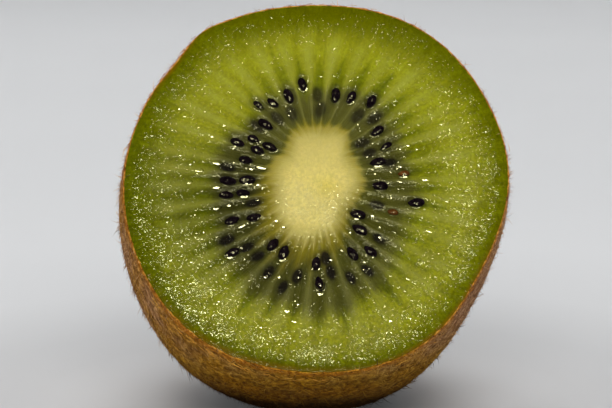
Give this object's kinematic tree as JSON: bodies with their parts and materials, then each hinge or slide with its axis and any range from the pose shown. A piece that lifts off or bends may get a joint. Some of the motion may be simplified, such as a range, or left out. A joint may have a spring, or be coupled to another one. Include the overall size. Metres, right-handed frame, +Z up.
{
  "type": "kiwi fruit half",
  "caption": "Half of a kiwi fruit, cut across: fuzzy brown skin, green flesh with pale rays, a pale core and a ring of dark seeds. It leans back on its skin, cut face up and forward.",
  "frame": {"origin": "middle of the small flat spot of skin on which the half rests", "axes": "+Z up; the cut face looks along -Y and upwards, leant back 33 degrees from upright; +X to the right of the face"},
  "size_m": [0.0532, 0.0538, 0.0559],
  "materials": {
    "flesh": "wet, translucent green flesh, darker at the rim and between the pale rays",
    "core": "moist, pale yellow, fine fibres",
    "skin": "matt, brown, rough and finely mottled",
    "fuzz": "dry, fine brown hairs",
    "seed": "wet, black, with a purple-brown cast",
    "juice": "clear, wet film and beads"
  },
  "bodies": {
    "root": {"kiwi_half": "flesh"}
  },
  "joints": []
}
